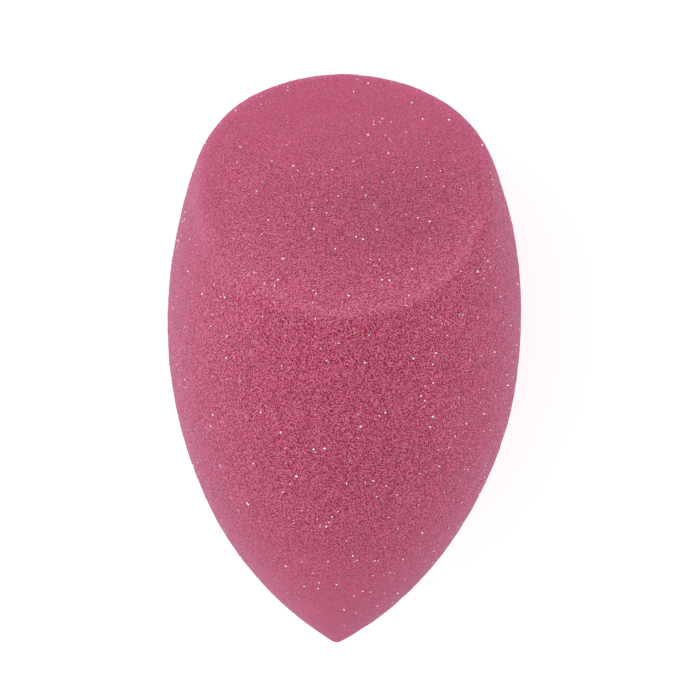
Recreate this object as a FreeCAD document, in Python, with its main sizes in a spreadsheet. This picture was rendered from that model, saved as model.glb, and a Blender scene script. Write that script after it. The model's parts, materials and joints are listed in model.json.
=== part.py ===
"""Teardrop makeup sponge lying on its side: a soft foam drop with a pointed tip and one slanting flat face.

Glitter flakes lie on the skin of the foam. In the slanting face each is sunk in a pit, so the face stays
flat. Frame: millimetres, +Z up. The origin is the middle of the flat that the sponge lies on, right under
its widest section. The long axis is level and parallel to Y, with the tip towards -Y. The slanting face
looks up and towards +Y.
"""

import FreeCAD, Part
import enum
import math
import os
import random

import Sketcher
from FreeCAD import Placement, Rotation, Vector

# Driving dimensions: alias, value in millimetres or degrees unless it is a count, and what it measures.
SIZES = [
    ("belly_diameter", 40.0, "widest section of the foam"),
    ("belly_from_tip", 37.0, "from the tip to the widest section, along the axis"),
    ("blank_length", 65.4, "whole drop along its axis, before the slanting face is cut"),
    ("side_radius", 50.0, "arc of the side, behind the widest section"),
    ("end_run", 11.0, "how far along the axis the blunt end takes to close from that arc"),
    ("nose_radius", 37.6, "arc that closes to the tip; the arc from it to the widest section follows"),
    ("tip_radius", 0.5, "soft point of the tip"),
    ("face_angle", 42.5, "angle between the slanting face and the long axis"),
    ("face_from_tip", 59.5, "from the tip to where the slanting face crosses the axis"),
    ("rim_radius", 1.0, "rounding of the slanting face's rim"),
    ("rest_depth", 0.5, "how far the foam is flattened where it lies"),
    ("flake_width", 0.34, "glitter flake, across its flats"),
    ("flake_thickness", 0.05, "glitter flake"),
    ("flake_clearance", 0.02, "binder round a flake: under it, and round it in its pit"),
    ("flake_spacing", 1.2, "least distance between two flakes, middle to middle"),
    ("flakes_per_cm2", 4.0, "how thickly the flakes are strewn"),
]

# Share of the flakes in each tint, in the order in which the nodes are written.
TINTS = [("silver_glitter", 0.70), ("violet_glitter", 0.18), ("gold_glitter", 0.12)]
FLAKE_SIDES = 4
SCATTER_SEED = 41
TRIES_PER_FLAKE = 60
STRETCH_STEPS = 8
SLOPE_HALVINGS = 50

# A sketch counts the spots of an edge from 1, and its own two axes from -1 down.
Spot = enum.IntEnum("Spot", "START END CENTRE")
H_AXIS, V_AXIS = range(-1, -3, -1)
ON_PLANE = 1e-4


def make_sheet(doc):
    """The spreadsheet that holds the driving dimensions, one row each."""
    sheet = doc.addObject("Spreadsheet::Sheet", "Sizes")
    for row, (alias, value, meaning) in enumerate(SIZES, start=1):
        sheet.set(f"A{row}", alias)
        sheet.set(f"B{row}", str(value))
        sheet.setAlias(f"B{row}", alias)
        sheet.set(f"C{row}", meaning)
    doc.recompute()
    return sheet


def size(sheet, alias):
    """A driving dimension as a number."""
    return float(sheet.get(alias))


def side_sketch(body, name):
    """An empty sketch on the body's upright middle plane, with Y to the right and Z up."""
    sketch = body.newObject("Sketcher::SketchObject", name)
    plane = next(f for f in body.Origin.OriginFeatures if f.Role == "YZ_Plane")
    sketch.AttachmentSupport = [(plane, "")]
    sketch.MapMode = "FlatFace"
    return sketch


def bind(sketch, constraint, name, expression):
    """Adds a dimension to a sketch and ties it to the spreadsheet."""
    index = sketch.addConstraint(constraint)
    sketch.renameConstraint(index, name)
    sketch.setExpression(f"Constraints.{name}", expression)


def arc(centre, start, end):
    """The arc about centre that runs anticlockwise from start to end."""
    circle = Part.Circle(centre, Vector(0, 0, 1), (start - centre).Length)
    first = math.atan2(start.y - centre.y, start.x - centre.x)
    last = math.atan2(end.y - centre.y, end.x - centre.x)
    return Part.ArcOfCircle(circle, first, last)


def bend(point, way, joint):
    """How sharply an arc turns right that leaves point that way and reaches joint: one over its radius."""
    chord = joint - point
    return 2 * (chord.x * way.y - chord.y * way.x) / chord.dot(chord)


def arc_centre(point, way, joint):
    """Centre of the arc that leaves point that way and reaches joint."""
    return point + Vector(way.y, -way.x, 0) / bend(point, way, joint)


def equal_tangents(first, first_way, last, last_way):
    """Corners of the two equal tangents of a pair of arcs, and the joint halfway between the corners."""
    gap = last - first
    ways = first_way + last_way
    excess = ways.dot(ways) - 4
    run = gap.dot(ways)
    length = (run - math.sqrt(run**2 - excess * gap.dot(gap))) / excess
    corners = first + first_way * length, last - last_way * length
    return corners, (corners[0] + corners[1]) / 2


def front_of_drop(belly, tip_centre, tip_radius, nose_radius):
    """The outline from the tip's own round to the belly, at the slope that gives the nose its radius."""
    level = Vector(1, 0, 0)
    low, high = 0.0, math.pi / 2
    for _ in range(SLOPE_HALVINGS):
        slope = (low + high) / 2
        way = Vector(math.cos(slope), math.sin(slope), 0)
        start = tip_centre + Vector(-way.y, way.x, 0) * tip_radius
        corners, joint = equal_tangents(start, way, belly, level)
        if bend(start, way, joint) * nose_radius < 1:
            low = slope
        else:
            high = slope
    return [arc_centre(belly, level, joint), arc_centre(start, way, joint)], [joint, start], corners


def drop_outline(sheet):
    """Centres and joints of the arcs from blunt end to tip, and the tangent corners of its two pairs."""
    side = size(sheet, "side_radius")
    tip_radius = size(sheet, "tip_radius")
    belly = Vector(0, size(sheet, "belly_diameter") / 2, 0)
    tip = Vector(-size(sheet, "belly_from_tip"), 0, 0)
    end = Vector(size(sheet, "blank_length") - size(sheet, "belly_from_tip"), 0, 0)
    side_centre = belly - Vector(0, side, 0)
    fall = math.asin((end.x - size(sheet, "end_run")) / side)
    way = Vector(math.cos(fall), -math.sin(fall), 0)
    side_end = side_centre + Vector(-way.y, way.x, 0) * side
    down = Vector(0, -1, 0)
    rear_corners, end_joint = equal_tangents(side_end, way, end, down)
    rear = [arc_centre(end, down, end_joint), arc_centre(side_end, way, end_joint)]
    tip_centre = tip + Vector(tip_radius, 0, 0)
    fore, turns, fore_corners = front_of_drop(belly, tip_centre, tip_radius, size(sheet, "nose_radius"))
    joints = [end, end_joint, side_end, belly, *turns, tip]
    return [*rear, side_centre, *fore, tip_centre], joints, rear_corners, fore_corners


def guide_pair(sketch, first, second, marks, lie):
    """Guide lines, from the first arc's start to the second one's end, that keep their tangents equal."""
    guides = []
    for here, there in zip(marks, marks[1:]):
        guides.append(sketch.addGeometry(Part.LineSegment(here, there), True))
    leaving, middle, arriving = guides
    for here, there in ((leaving, middle), (middle, arriving)):
        sketch.addConstraint(Sketcher.Constraint("Coincident", here, Spot.END, there, Spot.START))
    sketch.addConstraint(Sketcher.Constraint("Coincident", first, Spot.START, leaving, Spot.START))
    sketch.addConstraint(Sketcher.Constraint(lie, leaving))
    sketch.addConstraint(Sketcher.Constraint("Tangent", first, Spot.END, middle))
    sketch.addConstraint(Sketcher.Constraint("Tangent", second, Spot.END, arriving, Spot.END))
    sketch.addConstraint(Sketcher.Constraint("Equal", leaving, arriving))


def sketch_drop(body, sheet):
    """Half of the outline: six tangent arcs from the blunt end to the tip, closed along the axis."""
    sketch = side_sketch(body, "DropOutline")
    centres, joints, rear_corners, fore_corners = drop_outline(sheet)
    arcs = []
    for centre, first, last in zip(centres, joints, joints[1:]):
        arcs.append(sketch.addGeometry(arc(centre, first, last)))
    blunt, shoulder, side, front, nose, point = arcs
    end, _, side_end, belly, _, tip_joint, tip = joints
    axis = sketch.addGeometry(Part.LineSegment(tip, end))
    for here, there in zip(arcs, arcs[1:]):
        sketch.addConstraint(Sketcher.Constraint("Tangent", here, Spot.END, there, Spot.START))
    for here, there in ((point, axis), (axis, blunt)):
        sketch.addConstraint(Sketcher.Constraint("Coincident", here, Spot.END, there, Spot.START))
    for here, spot in ((axis, Spot.START), (axis, Spot.END), (blunt, Spot.CENTRE), (point, Spot.CENTRE)):
        sketch.addConstraint(Sketcher.Constraint("PointOnObject", here, spot, H_AXIS))
    for spot in (Spot.END, Spot.CENTRE):
        sketch.addConstraint(Sketcher.Constraint("PointOnObject", side, spot, V_AXIS))
    guide_pair(sketch, blunt, shoulder, [end, *rear_corners[::-1], side_end], "Vertical")
    guide_pair(sketch, front, nose, [belly, *fore_corners[::-1], tip_joint], "Horizontal")
    bind(
        sketch,
        Sketcher.Constraint("DistanceX", axis, Spot.START, H_AXIS, Spot.START, -tip.x),
        "belly_from_tip",
        "Sizes.belly_from_tip",
    )
    bind(
        sketch,
        Sketcher.Constraint("DistanceX", H_AXIS, Spot.START, axis, Spot.END, end.x),
        "belly_to_end",
        "Sizes.blank_length - Sizes.belly_from_tip",
    )
    bind(
        sketch,
        Sketcher.Constraint("DistanceX", side, Spot.START, axis, Spot.END, end.x - side_end.x),
        "end_run",
        "Sizes.end_run",
    )
    bind(
        sketch,
        Sketcher.Constraint("DistanceY", H_AXIS, Spot.START, side, Spot.END, belly.y),
        "belly_above_axis",
        "Sizes.belly_diameter / 2",
    )
    for edge, alias in ((side, "side_radius"), (nose, "nose_radius"), (point, "tip_radius")):
        bind(sketch, Sketcher.Constraint("Radius", edge, size(sheet, alias)), alias, f"Sizes.{alias}")
    return sketch


def sketch_waste(body, sheet):
    """The block that is cut away beyond the slanting face, seen from the side."""
    sketch = side_sketch(body, "SlantWaste")
    reach = size(sheet, "blank_length")
    slope = math.radians(size(sheet, "face_angle"))
    along = Vector(math.cos(slope), -math.sin(slope), 0) * reach
    outward = Vector(math.sin(slope), math.cos(slope), 0) * reach
    crossing = Vector(size(sheet, "face_from_tip") - size(sheet, "belly_from_tip"), 0, 0)
    corners = [crossing - along, crossing + along, crossing + along + outward, crossing - along + outward]
    lines = []
    for here, there in zip(corners, corners[1:] + corners[:1]):
        lines.append(sketch.addGeometry(Part.LineSegment(here, there)))
    for here, there in zip(lines, lines[1:] + lines[:1]):
        sketch.addConstraint(Sketcher.Constraint("Coincident", here, Spot.END, there, Spot.START))
    for here, there in zip(lines[:3], lines[1:]):
        sketch.addConstraint(Sketcher.Constraint("Perpendicular", here, there))
    middle = sketch.addGeometry(Part.Point(crossing))
    sketch.addConstraint(Sketcher.Constraint("PointOnObject", middle, Spot.START, H_AXIS))
    slant = lines[0]
    sketch.addConstraint(
        Sketcher.Constraint("Symmetric", slant, Spot.START, slant, Spot.END, middle, Spot.START)
    )
    bind(
        sketch,
        Sketcher.Constraint("DistanceX", H_AXIS, Spot.START, middle, Spot.START, crossing.x),
        "face_from_belly",
        "Sizes.face_from_tip - Sizes.belly_from_tip",
    )
    bind(
        sketch,
        Sketcher.Constraint("Angle", slant, Spot.START, H_AXIS, Spot.START, slope),
        "face_angle",
        "Sizes.face_angle",
    )
    bind(sketch, Sketcher.Constraint("Distance", slant, 2 * reach), "slant", "2 * Sizes.blank_length")
    bind(sketch, Sketcher.Constraint("Distance", lines[1], reach), "depth", "Sizes.blank_length")
    return sketch


def sketch_rest(body, sheet):
    """The sliver that the sponge's own weight flattens where it lies, seen from the side."""
    sketch = side_sketch(body, "RestWaste")
    half = size(sheet, "belly_from_tip")
    belly = size(sheet, "belly_diameter") / 2
    floor = size(sheet, "rest_depth") - belly
    corners = [
        Vector(-half, -2 * belly, 0),
        Vector(half, -2 * belly, 0),
        Vector(half, floor, 0),
        Vector(-half, floor, 0),
    ]
    lines = []
    for here, there in zip(corners, corners[1:] + corners[:1]):
        lines.append(sketch.addGeometry(Part.LineSegment(here, there)))
    for here, there in zip(lines, lines[1:] + lines[:1]):
        sketch.addConstraint(Sketcher.Constraint("Coincident", here, Spot.END, there, Spot.START))
    sketch.addConstraint(Sketcher.Constraint("Horizontal", lines[0]))
    sketch.addConstraint(Sketcher.Constraint("Vertical", lines[1]))
    sketch.addConstraint(Sketcher.Constraint("Vertical", lines[3]))
    sketch.addConstraint(Sketcher.Constraint("Symmetric", lines[2], Spot.START, lines[2], Spot.END, V_AXIS))
    bind(sketch, Sketcher.Constraint("Distance", lines[2], 2 * half), "reach", "2 * Sizes.belly_from_tip")
    bind(
        sketch,
        Sketcher.Constraint("DistanceY", lines[2], Spot.START, H_AXIS, Spot.START, -floor),
        "floor_below_axis",
        "Sizes.belly_diameter / 2 - Sizes.rest_depth",
    )
    bind(
        sketch,
        Sketcher.Constraint("DistanceY", lines[0], Spot.START, H_AXIS, Spot.START, 2 * belly),
        "depth",
        "Sizes.belly_diameter",
    )
    return sketch


def cut_across(body, sketch, name):
    """Cuts a sketch on the middle plane right across the body, both ways."""
    before = body.Shape.Volume
    cut = body.newObject("PartDesign::Pocket", name)
    cut.Profile = sketch
    cut.SideType = "Symmetric"
    cut.setExpression("Length", "2 * Sizes.belly_diameter")
    body.Document.recompute()
    if not cut.Shape.Volume < before:
        raise RuntimeError(f"{name} cuts nothing")
    return cut


def slant_plane(sheet):
    """A point of the slanting face and its outward normal, in the body's own frame."""
    slope = math.radians(size(sheet, "face_angle"))
    crossing = Vector(0, size(sheet, "face_from_tip") - size(sheet, "belly_from_tip"), 0)
    return crossing, Vector(0, math.sin(slope), math.cos(slope))


def rim_edges(shape, sheet):
    """Names of the edges of the slanting face."""
    crossing, outward = slant_plane(sheet)
    names = []
    for index, edge in enumerate(shape.Edges, start=1):
        first, last = edge.ParameterRange
        marks = [edge.valueAt(first + (last - first) * share) for share in (0.0, 0.3, 0.6, 1.0)]
        if all(abs((mark - crossing).dot(outward)) < ON_PLANE for mark in marks):
            names.append(f"Edge{index}")
    return names


def make_blank(doc, sheet):
    """The foam drop before its pits: revolved, cut slanting, rounded at the rim, flattened below."""
    body = doc.addObject("PartDesign::Body", "FoamBlank")
    drop = body.newObject("PartDesign::Revolution", "Drop")
    drop.Profile = sketch_drop(body, sheet)
    axis = next(f for f in body.Origin.OriginFeatures if f.Role == "Y_Axis")
    drop.ReferenceAxis = (axis, [""])
    drop.Angle = 360.0
    doc.recompute()
    slant = cut_across(body, sketch_waste(body, sheet), "SlantingFace")
    rim = body.newObject("PartDesign::Fillet", "Rim")
    rim.Base = (slant, rim_edges(slant.Shape, sheet))
    rim.setExpression("Radius", "Sizes.rim_radius")
    doc.recompute()
    cut_across(body, sketch_rest(body, sheet), "RestFlat")
    body.setExpression("Placement.Base.z", "Sizes.belly_diameter / 2 - Sizes.rest_depth")
    doc.recompute()
    return body


def make_prism(doc, name, across_flats, height):
    """A regular flake-shaped plate on the XY plane, sized from the spreadsheet."""
    plate = doc.addObject("Part::Prism", name)
    plate.Polygon = FLAKE_SIDES
    plate.setExpression("Circumradius", f"({across_flats}) / 2 / cos(180 deg / {FLAKE_SIDES})")
    plate.setExpression("Height", height)
    doc.recompute()
    return plate


def stretch(face, u, v):
    """How much skin a small step of u and v covers there."""
    along, across = face.derivative1At(u, v)
    return along.cross(across).Length


def most_stretch(face):
    """The largest stretch on a face, from a coarse grid."""
    u_low, u_high, v_low, v_high = face.ParameterRange
    shares = [step / STRETCH_STEPS for step in range(STRETCH_STEPS + 1)]
    u_marks = [u_low + (u_high - u_low) * share for share in shares]
    v_marks = [v_low + (v_high - v_low) * share for share in shares]
    return max(stretch(face, u, v) for u in u_marks for v in v_marks)


def scatter(face, count, sheet, draw):
    """Points and outward normals for count flakes, spread evenly over one face and clear of its rim."""
    spacing = size(sheet, "flake_spacing")
    room = 2 * size(sheet, "flake_width")
    u_low, u_high, v_low, v_high = face.ParameterRange
    most = most_stretch(face)
    seats = []
    for _ in range(TRIES_PER_FLAKE * count):
        if len(seats) == count:
            break
        u, v = draw.uniform(u_low, u_high), draw.uniform(v_low, v_high)
        if draw.random() * most > stretch(face, u, v) or not face.isPartOfDomain(u, v):
            continue
        point = face.valueAt(u, v)
        if any(point.distanceToPoint(other) < spacing for other, _ in seats):
            continue
        if Part.Vertex(point).distToShape(face.OuterWire)[0] < room:
            continue
        seats.append((point, face.normalAt(u, v)))
    return seats


def place_flakes(seats, depth, draw):
    """A placement for each seat: the flake's underside lies this deep below the skin, turned at random."""
    places = []
    for point, normal in seats:
        lie = Rotation(Vector(0, 0, 1), normal).multiply(Rotation(Vector(0, 0, 1), draw.uniform(0, 360)))
        places.append(Placement(point - normal * depth, lie))
    return places


def strew_flakes(blank, sheet):
    """Places of the flakes that lie on the skin, and of those that are sunk in the slanting face."""
    draw = random.Random(SCATTER_SEED)
    clearance = size(sheet, "flake_clearance")
    room = 2 * size(sheet, "flake_width")
    crossing, outward = slant_plane(sheet)
    crossing = blank.Placement.multVec(crossing)
    laid, sunk = [], []
    for face in blank.Shape.Faces:
        count = round(size(sheet, "flakes_per_cm2") * face.Area / 100)
        seats = scatter(face, count, sheet, draw)
        if abs((face.CenterOfMass - crossing).dot(outward)) < ON_PLANE:
            sunk += place_flakes(seats, size(sheet, "flake_thickness") + clearance, draw)
        else:
            # Both flats stay free: no flake stands beyond the slanting face or reaches the floor.
            free = [s for s in seats if s[0].z > room and (crossing - s[0]).dot(outward) > room]
            laid += place_flakes(free, -clearance, draw)
    return laid, sunk


def link_copies(doc, label, plate, places):
    """One linked copy of the plate at each place."""
    array = doc.addObject("App::Link", label)
    array.Label = label
    array.LinkedObject = plate
    array.ShowElement = False
    array.ElementCount = len(places)
    array.PlacementList = places
    return array


def make_glitter(doc, places):
    """The flakes, one array for each tint, with the tints mixed over the whole skin."""
    random.Random(SCATTER_SEED).shuffle(places)
    flake = make_prism(doc, "Flake", "Sizes.flake_width", "Sizes.flake_thickness")
    made = []
    first = 0
    for number, (label, share) in enumerate(TINTS):
        last = len(places) if number == len(TINTS) - 1 else first + round(share * len(places))
        made.append(link_copies(doc, label, flake, places[first:last]))
        first = last
    doc.recompute()
    return made


def make_foam(doc, sheet, blank, sunk):
    """The foam, with a pit in the slanting face for each flake that is sunk there, open at the face."""
    below = Placement(Vector(0, 0, -size(sheet, "flake_clearance")), Rotation())
    across = "Sizes.flake_width + 2 * Sizes.flake_clearance"
    pit = make_prism(doc, "Pit", across, "Sizes.flake_width")
    foam = doc.addObject("Part::Cut", "FoamBody")
    foam.Label = "foam_body"
    foam.Base = blank
    foam.Tool = link_copies(doc, "Pits", pit, [place.multiply(below) for place in sunk])
    doc.recompute()
    if not foam.Shape.Volume < blank.Shape.Volume:
        raise RuntimeError("the pits cut nothing")
    return foam


def check(doc, shapes):
    """Stops before anything is written if an object failed or a shape isn't sound."""
    for thing in doc.Objects:
        if {"Invalid", "Error"} & set(thing.State):
            raise RuntimeError(f"{thing.Label} failed: {thing.State}")
    for label, shape in shapes.items():
        if shape.isNull() or not shape.isValid() or not shape.Solids:
            raise RuntimeError(f"{label} is not a sound solid")


def main():
    doc = FreeCAD.newDocument("MakeupSponge")
    sheet = make_sheet(doc)
    blank = make_blank(doc, sheet)
    laid, sunk = strew_flakes(blank, sheet)
    parts = [make_foam(doc, sheet, blank, sunk), *make_glitter(doc, laid + sunk)]
    shapes = {part.Label: Part.getShape(part) for part in parts}
    check(doc, shapes)
    os.makedirs("parts", exist_ok=True)
    for label, shape in shapes.items():
        shape.exportStep(f"parts/{label}.step")
        box = shape.optimalBoundingBox()
        print(f"{label}: {len(shape.Solids)} solids, {shape.Volume:.3f} mm3, {box}")


main()
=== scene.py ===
"""Studio picture of the makeup sponge: soft pored foam with glitter flakes in its skin, on a white floor.

The scene is in metres. The foam's shape and colours are worked out in millimetres, as x across the sponge,
y along it from the tip to the blunt end, and z up.
"""

import json
import math

import bpy
import numpy as np
from mathutils import Matrix, Vector


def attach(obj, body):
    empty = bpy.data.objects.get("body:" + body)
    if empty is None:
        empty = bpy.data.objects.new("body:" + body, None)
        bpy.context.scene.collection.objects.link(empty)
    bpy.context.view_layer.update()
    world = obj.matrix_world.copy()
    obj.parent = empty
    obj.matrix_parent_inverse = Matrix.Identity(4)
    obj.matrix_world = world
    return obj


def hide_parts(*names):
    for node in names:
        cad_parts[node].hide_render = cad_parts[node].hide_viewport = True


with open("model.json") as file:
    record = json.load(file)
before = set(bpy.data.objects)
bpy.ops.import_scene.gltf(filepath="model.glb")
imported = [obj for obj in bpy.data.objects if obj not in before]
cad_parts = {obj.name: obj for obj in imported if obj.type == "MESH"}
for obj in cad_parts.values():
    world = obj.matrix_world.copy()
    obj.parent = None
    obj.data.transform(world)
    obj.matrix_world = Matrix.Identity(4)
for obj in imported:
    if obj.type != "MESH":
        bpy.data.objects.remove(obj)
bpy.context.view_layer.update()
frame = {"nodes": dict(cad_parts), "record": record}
scene = bpy.context.scene
draw = np.random.default_rng(7)

MM = 0.001

# The drop, rounded because its mesh has facets: radius at its widest section, and height of its long axis.
FOAM_SIZE = frame["nodes"]["foam_body"].dimensions / MM
BELLY_RADIUS = round(FOAM_SIZE.x / 2, 2)
AXIS_HEIGHT = round(FOAM_SIZE.z, 2) - BELLY_RADIUS

# The slanting face: a spot on it, the way it looks, and the way along it towards the blunt end.
FACE_MOUNT = next(mount for mount in frame["record"]["mounts"] if mount["name"] == "slanting_face")
FACE_SPOT = np.array(FACE_MOUNT["pos_m"]) / MM
FACE_OUT = np.array(FACE_MOUNT["axis"])
FACE_ALONG = np.cross(FACE_OUT, (1, 0, 0))
# What lies less deep than this below the face's plane belongs to the face.
FACE_SKIN = 0.06
# The rim's distance from the middle of the face is found in this many sectors.
RIM_SECTORS = 180

# The foam's mesh: edge of its faces, how deep its skin lies in the CAD foam, and the bumps on it, each with
# its height, wavelength and seed.
MESH_STEP = 0.325
SKIN_DEPTH = 0.05
BUMPS = ((0.03, 9, 1), (0.025, 2.6, 2), (0.03, 0.9, 3))
# At the floor the skin meets the CAD foam. From this height up it lies at its full depth.
FLAT_FADE = 0.3

# Painted shade on the slanting face and on the body: how dark, where, and how wide.
FACE_PAINTED_SHADE = ((0.13, (4.5, 12, 29), 10), (0.02, (-2, 10, 31), 8), (0.05, (14, 17, 25), 6))
BODY_PAINTED_SHADE = ((0.05, (6, -18, 36), 10), (0.13, (8, -31, 23), 8))
# Where the painted highlight band inside the rim is strongest, and how wide that place is.
PAINTED_HIGHLIGHT_PLACE = ((11, 5, 35), 10)

# A flake: its sides and thickness, and the spread of its tilt against the skin's direction.
FLAKE_SIDES = 6
FLAKE_THICKNESS = 0.03
FLAKE_TILT = 0.42
# Widths of the flakes that the CAD has and of finer ones, which stay above a lowest height.
FLAKE_WIDTHS = (0.20, 0.34)
FINE_FLAKE_WIDTHS = (0.10, 0.22)
FINE_FLAKE_LOWEST = 0.5
# The glitter: tint, fine flakes added to the CAD ones, and the two colours that each flake lies between;
# where a flake lies between them is a painted reflection of more or less light.
GLITTER = (
    ("silver", 780, (0.84, 0.83, 0.84), (0.98, 0.98, 0.98)),
    ("violet", 230, (0.46, 0.38, 0.74), (0.82, 0.74, 0.98)),
    ("gold", 140, (0.86, 0.72, 0.56), (0.98, 0.92, 0.80)),
)

# The photograph, in pixels: its width, its focal length, and the belly's radius and middle.
IMAGE_WIDTH = 700
FOCAL_PIXELS = 4000
BELLY_PIXELS = 177.02
BELLY_IN_VIEW = (344.25, 317.6)


# Meshes

def read_vectors(source, name):
    """One vector of each item of a mesh's list, as rows of an array."""
    values = np.empty(len(source) * 3)
    source.foreach_get(name, values)
    return values.reshape(-1, 3)


def read_mesh(mesh):
    """A mesh's points and triangles as arrays."""
    mesh.calc_loop_triangles()
    corners = np.empty(len(mesh.loop_triangles) * 3, dtype=np.int64)
    mesh.loop_triangles.foreach_get("vertices", corners)
    return read_vectors(mesh.vertices, "co"), corners.reshape(-1, 3)


def add_piece(name, mesh, replaced, material):
    """Puts a finished mesh in the scene in place of one CAD node."""
    piece = bpy.data.objects.new(name, mesh)
    scene.collection.objects.link(piece)
    mesh.materials.clear()
    mesh.materials.append(material)
    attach(piece, "root")
    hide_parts(replaced)
    return piece


def lattice_noise(points, wavelength, seed):
    """Smooth random values between -1 and 1 that change over about one wavelength."""
    entries = 4096
    primes = np.array((73856093, 19349663, 83492791))
    table = np.random.default_rng(seed).uniform(-1, 1, entries)
    # Counted from far off, so that no cell has a number below 0.
    scaled = points / wavelength + 1000
    cell = np.floor(scaled).astype(np.int64)
    part = scaled - cell
    part = part**3 * (part * (part * 6 - 15) + 10)
    total = np.zeros(len(points))
    for step in np.ndindex(2, 2, 2):
        key = np.bitwise_xor.reduce((cell + step) * primes, axis=1) % entries
        total += table[key] * np.prod(np.where(step, part, 1 - part), axis=1)
    return total


def ease(value, low, high):
    """0 below low, 1 above high and a smooth rise between them."""
    part = np.clip((value - low) / (high - low), 0, 1)
    return part * part * (3 - 2 * part)


def bell(value, width):
    """1 where the value is 0, falling smoothly to 0 on both sides over about the width given."""
    return np.exp(-((value / width) ** 2))


def hump(points, place, width):
    """1 at a place, falling smoothly to 0 all round over about the width given."""
    return bell(np.linalg.norm(points - np.array(place), axis=1), width)


# Foam

def settle(points):
    """Soft foam isn't quite true: the blunt end leans to one side, and one flank is a little fuller."""
    across, along = points[:, 0], points[:, 1]
    lean = 0.24 * ease(along, 6, 22) + 0.10 * ease(along, 20, 26)
    fuller = 0.22 * ease(across, 2, 15) * bell(along + 12, 8)
    moved = points.copy()
    moved[:, 0] += fuller - lean
    return moved


def face_places(points):
    """Places against the slanting face: depth below its plane, whether on it, and how far inside its rim."""
    below = (FACE_SPOT - points) @ FACE_OUT
    on_face = below < FACE_SKIN
    across = points[:, 0]
    along = (points - FACE_SPOT) @ FACE_ALONG
    along -= (along[on_face].min() + along[on_face].max()) / 2
    turn = np.arctan2(along, across)
    reach = np.hypot(along, across)
    sector = ((turn + math.pi) / math.tau * RIM_SECTORS).astype(int) % RIM_SECTORS
    rim = np.zeros(RIM_SECTORS)
    np.maximum.at(rim, sector[on_face], reach[on_face])
    rim = (np.roll(rim, 1) + rim + np.roll(rim, -1)) / 3
    return below, on_face, rim[sector] - reach


def left_flank(points):
    """1 on the left flank beside and before the slanting face, falling smoothly to 0 round it."""
    across, along = points[:, 0], points[:, 1]
    return ease(-across, 3, 12) * bell(along - 3, 13)


def painted_foam_shading(points, on_face):
    """Painted light and shade on the foam: paler at both ends, with painted shade at a few marks and a
    little on the left flank.
    """
    along = points[:, 1]
    painted_shading = 1 + 0.12 * ease(-along, 20, 33) + 0.08 * ease(along, 12, 25) - 0.03 * left_flank(points)
    for dark, place, width in FACE_PAINTED_SHADE:
        painted_shading -= on_face * dark * hump(points, place, width)
    for dark, place, width in BODY_PAINTED_SHADE:
        painted_shading -= dark * hump(points, place, width)
    return painted_shading


def painted_rim_highlight(points, below, on_face, inside):
    """Painted highlight: how much paler the foam is painted on the rim, on both sides of it, and on the left
    flank.
    """
    across, along = points[:, 0], points[:, 1]
    left = ease(-across, -6, 10)
    left_wall = ease(-across, 9, 15) * ease(-along, -17, -12)
    right_wall = 0.7 * ease(across, 12, 15) * bell(along - 16, 3.5)
    wall = left_wall + right_wall
    crest_on_face = (1 + wall - 1.8 * wall * ease(inside, 0.1, 0.6)) * bell(inside, 0.9)
    crest_past_face = (1 + wall) * bell(below, 0.13 + 0.55 * left + 1.3 * wall)
    crest = np.where(on_face, crest_on_face, crest_past_face)
    band = on_face * bell(inside, 2.8)
    return 0.5 * crest + (0.3 + 0.5 * hump(points, *PAINTED_HIGHLIGHT_PLACE)) * band + 0.4 * left_flank(points)


def pore_depth(points):
    """How clearly the pores show: most on the crown, less down the flanks and least at the dense ends."""
    across, along, height = points.T
    flank = 0.62 + 0.38 * np.clip((height - 20) / 16, 0, 1)
    tip = 0.3 + 0.7 * ease(along, -35, -19)
    top = 1 - 0.5 * ease(along, 15, 25)
    rubbed = 1 - 0.4 * ease(-across, 12.5, 16.5) * ease(along, 0, 8)
    return flank * tip * top * rubbed


def skin_depth(points, on_face, inside):
    """How far the skin lies below the CAD foam: slight bumps all over, and a dish in the slanting face."""
    depth = np.full(len(points), SKIN_DEPTH)
    for height, wavelength, seed in BUMPS:
        depth += height * lattice_noise(points, wavelength, seed)
    dish = 0.12 * ease(inside, 0.1, 1.2) + 0.22 * ease(inside, 0.5, 6)
    depth += on_face * dish
    return depth * np.clip(points[:, 2] / FLAT_FADE, 0, 1)


def even_mesh(node):
    """A CAD node as a mesh of even fine faces."""
    rough = bpy.data.objects.new("rough", node.data.copy())
    scene.collection.objects.link(rough)
    remesh = rough.modifiers.new("even", "REMESH")
    remesh.mode = "VOXEL"
    remesh.voxel_size = MESH_STEP * MM
    remesh.use_smooth_shade = True
    smooth = rough.modifiers.new("settle", "SMOOTH")
    smooth.factor = 0.5
    smooth.iterations = 3
    bpy.context.view_layer.update()
    ready = rough.evaluated_get(bpy.context.evaluated_depsgraph_get())
    mesh = bpy.data.meshes.new_from_object(ready)
    mesh.name = "foam"
    bpy.data.objects.remove(rough)
    return mesh


def keep_value(mesh, name, values):
    """Stores one number for each point of a mesh, for its material to read."""
    kept = mesh.attributes.new(name, "FLOAT", "POINT")
    kept.data.foreach_set("value", values.astype(np.float32))


def make_foam_mesh(node):
    """The CAD foam with the slight unevenness of moulded foam, and the values that its material reads."""
    mesh = even_mesh(node)
    points = read_vectors(mesh.vertices, "co") / MM
    normals = read_vectors(mesh.vertex_normals, "vector")
    below, on_face, inside = face_places(points)
    keep_value(mesh, "painted_shading", painted_foam_shading(points, on_face))
    # The rim value is a painted highlight on and beside the rim and on the left flank.
    keep_value(mesh, "rim", painted_rim_highlight(points, below, on_face, inside))
    keep_value(mesh, "pores", pore_depth(points))
    sunk = points - normals * skin_depth(points, on_face, inside)[:, None]
    mesh.vertices.foreach_set("co", (settle(sunk) * MM).ravel())
    mesh.update()
    return mesh


# Glitter

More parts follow.
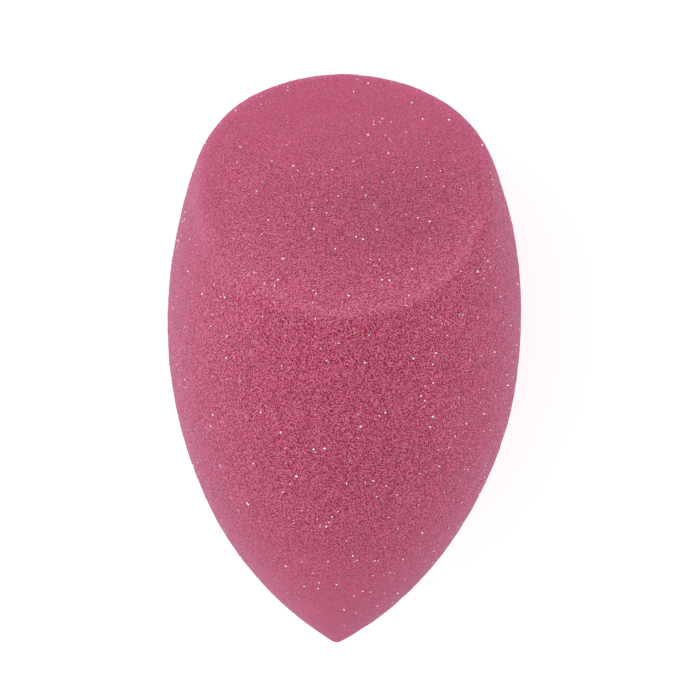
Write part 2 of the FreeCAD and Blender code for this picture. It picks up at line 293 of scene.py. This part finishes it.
def flake_middles(node):
    """The middle of each flake of a CAD glitter node, where a flake is what the node's triangles join."""
    points, corners = read_mesh(node.data)
    microns = np.round(points / (0.001 * MM)).astype(np.int64)
    _, first, same = np.unique(microns, axis=0, return_index=True, return_inverse=True)
    joined = first[same.ravel()][corners]
    label = np.arange(len(points))
    while True:
        lowest = label[joined].min(axis=1)
        lowered = label.copy()
        for column in joined.T:
            np.minimum.at(lowered, column, lowest)
        if (lowered == label).all():
            break
        label = lowered
    owner = label[joined[:, 0]]
    return [points[np.unique(corners[owner == flake])].mean(axis=0) for flake in np.unique(owner)]


def flake_seats(node, foam):
    """Seats of a CAD glitter node's flakes on the finished foam: place, direction of the skin, and width."""
    seats = []
    for middle in flake_middles(node):
        settled = settle(middle[None] / MM)[0] * MM
        _, spot, normal, _ = foam.closest_point_on_mesh(Vector(settled))
        seats.append((np.array(spot), np.array(normal), draw.uniform(*FLAKE_WIDTHS) * MM))
    return seats


def fine_seats(mesh, count):
    """Seats for finer flakes, strewn evenly over the foam, except close to the floor."""
    points, corners = read_mesh(mesh)
    first, second, third = (points[corners[:, i]] for i in range(3))
    cross = np.cross(second - first, third - first)
    area = np.linalg.norm(cross, axis=1)
    picks = draw.choice(len(corners), count, p=area / area.sum())
    seats = []
    for pick in picks:
        if first[pick, 2] > FINE_FLAKE_LOWEST * MM:
            seats.append((first[pick], cross[pick] / area[pick], draw.uniform(*FINE_FLAKE_WIDTHS) * MM))
    return seats


def flake_mesh(name, seats):
    """Thin plates at the seats, each a little tilted, so that each catches another part of the light."""
    points, faces, painted_reflections = [], [], []
    ring = range(FLAKE_SIDES)
    for middle, normal, width in seats:
        tilt = normal + draw.normal(0, FLAKE_TILT, 3)
        up = tilt / np.linalg.norm(tilt)
        side = np.cross(up, draw.normal(0, 1, 3))
        side /= np.linalg.norm(side)
        other = np.cross(up, side)
        low = len(points)
        high = low + FLAKE_SIDES
        for level in (-0.5, 0.5):
            for corner in ring:
                turn = corner * math.tau / FLAKE_SIDES
                reach = width / 2 * (math.cos(turn) * side + math.sin(turn) * other)
                points.append(middle + reach + up * level * FLAKE_THICKNESS * MM)
        faces.append([high + i for i in ring])
        faces.append([low + i for i in reversed(ring)])
        for i in ring:
            j = (i + 1) % FLAKE_SIDES
            faces.append([low + i, low + j, high + j, high + i])
        # Each flake gets a random painted reflection: how bright it is painted between its two tints.
        painted_reflections += [draw.uniform(0, 1)] * (FLAKE_SIDES + 2)
    mesh = bpy.data.meshes.new(name)
    mesh.from_pydata(points, [], faces)
    painted_reflection = mesh.attributes.new("painted_reflection", "FLOAT", "FACE")
    painted_reflection.data.foreach_set("value", painted_reflections)
    mesh.update()
    return mesh


# Materials

class Shader:
    """A node material that is built up one node at a time."""

    def __init__(self, name):
        self.material = bpy.data.materials.new(name)
        self.material.use_nodes = True
        self.tree = self.material.node_tree
        self.bsdf = next(node for node in self.tree.nodes if node.type == "BSDF_PRINCIPLED")
        self.place = self.add("ShaderNodeTexCoord").outputs["Object"]

    def fill(self, socket, value):
        """Links a socket to another node's output, or sets its number or colour."""
        if isinstance(value, bpy.types.NodeSocket):
            self.tree.links.new(value, socket)
        else:
            socket.default_value = value

    def add(self, kind, inputs=(), **settings):
        """Adds a node, sets it up and fills its inputs."""
        node = self.tree.nodes.new(kind)
        for key, value in settings.items():
            setattr(node, key, value)
        for key, value in dict(inputs).items():
            self.fill(node.inputs[key], value)
        return node

    def noise(self, scale, detail):
        """Smooth noise over the object, with so many swings to the metre."""
        inputs = {"Vector": self.place, "Scale": scale, "Detail": detail}
        return self.add("ShaderNodeTexNoise", inputs).outputs

    def value(self, name):
        """A number that the mesh keeps under this name."""
        return self.add("ShaderNodeAttribute", attribute_name=name).outputs["Fac"]

    def math(self, operation, *terms):
        """What the operation makes of the terms."""
        return self.add("ShaderNodeMath", enumerate(terms), operation=operation).outputs[0]

    def mix(self, factor, first, second, blend="MIX"):
        """Two colours, blended by a factor."""
        # The node's colours are inputs 6 and 7 and output 2. Its other numbers are for other kinds of value.
        inputs = {"Factor": factor, 6: first, 7: second}
        return self.add("ShaderNodeMix", inputs, data_type="RGBA", blend_type=blend).outputs[2]

    def ramp(self, factor, stops):
        """The colour that a factor has between stops, each a place and a colour."""
        node = self.add("ShaderNodeValToRGB", {"Fac": factor})
        elements = node.color_ramp.elements
        while len(elements) < len(stops):
            elements.new(0.5)
        for element, (place, colour) in zip(elements, stops):
            element.position = place
            element.color = (*colour, 1)
        return node.outputs["Color"]

    def surface(self, **inputs):
        """Fills the surface's own inputs, named with underscores for spaces."""
        for key, value in inputs.items():
            self.fill(self.bsdf.inputs[key.replace("_", " ")], value)


def foam_material():
    """Matt pink foam: fine pores with painted shade in them between lighter cell walls, and a pale bloom at
    grazing angles.
    """
    wall_colours = [
        (0.29, (0.350, 0.006, 0.046)),
        (0.50, (0.610, 0.098, 0.192)),
        (0.77, (0.790, 0.236, 0.366)),
    ]
    # Painted shade inside the pores.
    pore_shade_colour = (0.125, 0.0, 0.0, 1.0)
    poreless_colour = (0.476, 0.083, 0.157, 1.0)
    # The pale colour that is added as a painted highlight along the rim and on the left flank.
    painted_highlight_colour = (0.045, 0.024, 0.036, 1.0)
    cloud_shades = [(0.3, (0.96, 0.96, 0.96)), (0.7, (1.0, 1.0, 1.0))]
    pore_scale = 4200.0
    shift_scale = 3600.0
    grain_scale = 7400.0
    cloud_scale = 240.0
    pore_shift = (0.20 * MM, 0.20 * MM, 0.20 * MM)
    pit_edge = {"From Min": 0.12, "From Max": 0.48, "To Min": 0.95, "To Max": 0.0}
    shader = Shader("foam")

    # Pores: the middles of small cells, shifted a little so that they don't lie in rows.
    shifts = {0: shader.noise(shift_scale, 1.0)["Color"], 1: pore_shift, 2: shader.place}
    shifted = shader.add("ShaderNodeVectorMath", shifts, operation="MULTIPLY_ADD").outputs["Vector"]
    cells = shader.add("ShaderNodeTexVoronoi", {"Vector": shifted, "Scale": pore_scale}, feature="F1")
    pit_range = {"Value": cells.outputs["Distance"], **pit_edge}
    pit = shader.add("ShaderNodeMapRange", pit_range).outputs["Result"]

    # Colour: cell walls, pores with painted shade in them, cloudy patches, then the painted light and shade
    # on the foam and the painted highlight along the rim and the left flank.
    grain = shader.noise(grain_scale, 0.0)["Fac"]
    # The pores are painted a near-black red: painted shade inside the open cells.
    pored = shader.mix(pit, shader.ramp(grain, wall_colours), pore_shade_colour)
    shown = shader.mix(shader.value("pores"), poreless_colour, pored)
    cloud = shader.ramp(shader.noise(cloud_scale, 4.0)["Fac"], cloud_shades)
    clouded = shader.mix(1.0, shown, cloud, "MULTIPLY")
    # Painted light and shade: the colour is scaled up at both ends and down at the marks.
    painted_shading_inputs = {0: clouded, "Scale": shader.value("painted_shading")}
    painted_shading_colour = shader.add("ShaderNodeVectorMath", painted_shading_inputs, operation="SCALE").outputs["Vector"]
    # The rim value adds the painted highlight.
    colour = shader.mix(shader.value("rim"), painted_shading_colour, painted_highlight_colour, "ADD")

    relief = {"Strength": 0.5, "Distance": 0.12 * MM, "Height": shader.math("SUBTRACT", grain, pit)}
    shader.surface(
        Base_Color=colour,
        Roughness=0.9,
        Specular_IOR_Level=0.1,
        Sheen_Weight=0.40,
        Sheen_Roughness=0.5,
        Sheen_Tint=(0.92, 0.70, 1.0, 1.0),
        Normal=shader.add("ShaderNodeBump", relief).outputs["Normal"],
    )
    return shader.material


def film_material(name, dim, bright):
    """Metallised film in two tints: each flake's brightness between them is a random painted reflection of
    more or less light.
    """
    crease_scale = 9000.0
    shader = Shader(name)
    creases = shader.noise(crease_scale, 2.0)["Fac"]
    shader.surface(
        Base_Color=shader.ramp(shader.value("painted_reflection"), [(0.0, dim), (1.0, bright)]),
        Metallic=0.7,
        Roughness=shader.math("MULTIPLY_ADD", creases, 0.25, 0.08),
    )
    return shader.material


def floor_material():
    """White studio floor that shows white to the camera and still takes the object's shadow."""
    glow = 0.48
    patch_scale = 6.0
    white = [(0.3, (0.80, 0.80, 0.80)), (0.7, (0.82, 0.82, 0.82))]
    shader = Shader("floor")
    path = shader.add("ShaderNodeLightPath").outputs
    seen = shader.math("MAXIMUM", path["Is Camera Ray"], path["Is Glossy Ray"])
    seen = shader.math("MAXIMUM", seen, path["Is Transmission Ray"])
    shader.surface(
        Base_Color=shader.ramp(shader.noise(patch_scale, 2.0)["Fac"], white),
        Roughness=0.95,
        Specular_IOR_Level=0.0,
        Emission_Color=(1.0, 1.0, 1.0, 1.0),
        Emission_Strength=shader.math("MULTIPLY", seen, glow),
    )
    return shader.material


# Object

foam = add_piece("foam", make_foam_mesh(frame["nodes"]["foam_body"]), "foam_body", foam_material())
bpy.context.view_layer.update()
for tint, fine_flakes, dim, bright in GLITTER:
    node = f"{tint}_glitter"
    film = f"{tint}_film"
    seats = flake_seats(frame["nodes"][node], foam) + fine_seats(foam.data, fine_flakes)
    flakes = flake_mesh(f"{tint}_flakes", seats)
    add_piece(f"{tint}_flakes", flakes, node, film_material(film, dim, bright))


# Studio

def add_floor():
    """A wide floor, a hair under the flat that the object lies on."""
    reach = 3.0
    drop = 0.02 * MM
    ring = [(-reach, -reach), (reach, -reach), (reach, reach), (-reach, reach)]
    mesh = bpy.data.meshes.new("floor")
    mesh.from_pydata([(x, y, -drop) for x, y in ring], [], [range(len(ring))])
    mesh.materials.append(floor_material())
    floor = bpy.data.objects.new("floor", mesh)
    scene.collection.objects.link(floor)


def add_lamp(name, place, width, power):
    """A square soft box that faces the object."""
    lamp = bpy.data.lights.new(name, "AREA")
    lamp.shape = "SQUARE"
    lamp.size = width
    lamp.energy = power
    holder = bpy.data.objects.new(name, lamp)
    scene.collection.objects.link(holder)
    holder.location = place
    aim = Vector((0, 0, AXIS_HEIGHT * MM)) - Vector(place)
    holder.rotation_euler = aim.to_track_quat("-Z", "Y").to_euler()


def add_world(horizon, zenith):
    """A white tent round the object, darker overhead where the camera looks in."""
    world = bpy.data.worlds.new("studio")
    world.use_nodes = True
    tree = world.node_tree
    background = next(node for node in tree.nodes if node.type == "BACKGROUND")
    background.inputs["Color"].default_value = (1, 1, 1, 1)
    way = tree.nodes.new("ShaderNodeTexCoord")
    split = tree.nodes.new("ShaderNodeSeparateXYZ")
    fade = tree.nodes.new("ShaderNodeMapRange")
    fade.inputs["From Min"].default_value = 0.2
    fade.inputs["From Max"].default_value = 1.0
    fade.inputs["To Min"].default_value = horizon
    fade.inputs["To Max"].default_value = zenith
    tree.links.new(way.outputs["Generated"], split.inputs[0])
    tree.links.new(split.outputs["Z"], fade.inputs["Value"])
    tree.links.new(fade.outputs["Result"], background.inputs["Strength"])
    scene.world = world


def add_camera():
    """The photograph's view: from above, leaning a little towards the blunt end, through a long lens."""
    pixel = BELLY_RADIUS * MM / BELLY_PIXELS
    lean = math.radians(2.4)
    roll = math.radians(1.32)
    across = Vector((1, 0, 0))
    upward = Vector((0, math.cos(lean), -math.sin(lean)))
    back = Vector((0, math.sin(lean), math.cos(lean)))
    right = across * math.cos(roll) + upward * math.sin(roll)
    top = upward * math.cos(roll) - across * math.sin(roll)
    lens = bpy.data.cameras.new("camera")
    lens.sensor_width = 36.0
    lens.lens = lens.sensor_width * FOCAL_PIXELS / IMAGE_WIDTH
    lens.clip_start = 0.01
    camera = bpy.data.objects.new("camera", lens)
    scene.collection.objects.link(camera)
    aside = Vector(BELLY_IN_VIEW) - Vector((IMAGE_WIDTH / 2, IMAGE_WIDTH / 2))
    belly = Vector((0, 0, AXIS_HEIGHT * MM))
    spot = belly - (right * aside.x - top * aside.y) * pixel + back * FOCAL_PIXELS * pixel
    turn = Matrix((right, top, back)).transposed()
    camera.matrix_world = Matrix.Translation(spot) @ turn.to_4x4()
    scene.camera = camera


add_floor()
add_world(horizon=1.6, zenith=0.3)
add_lamp("key", place=(-0.12, 0.075, 0.095), width=0.10, power=0.042)
add_camera()
scene.view_settings.view_transform = "Standard"
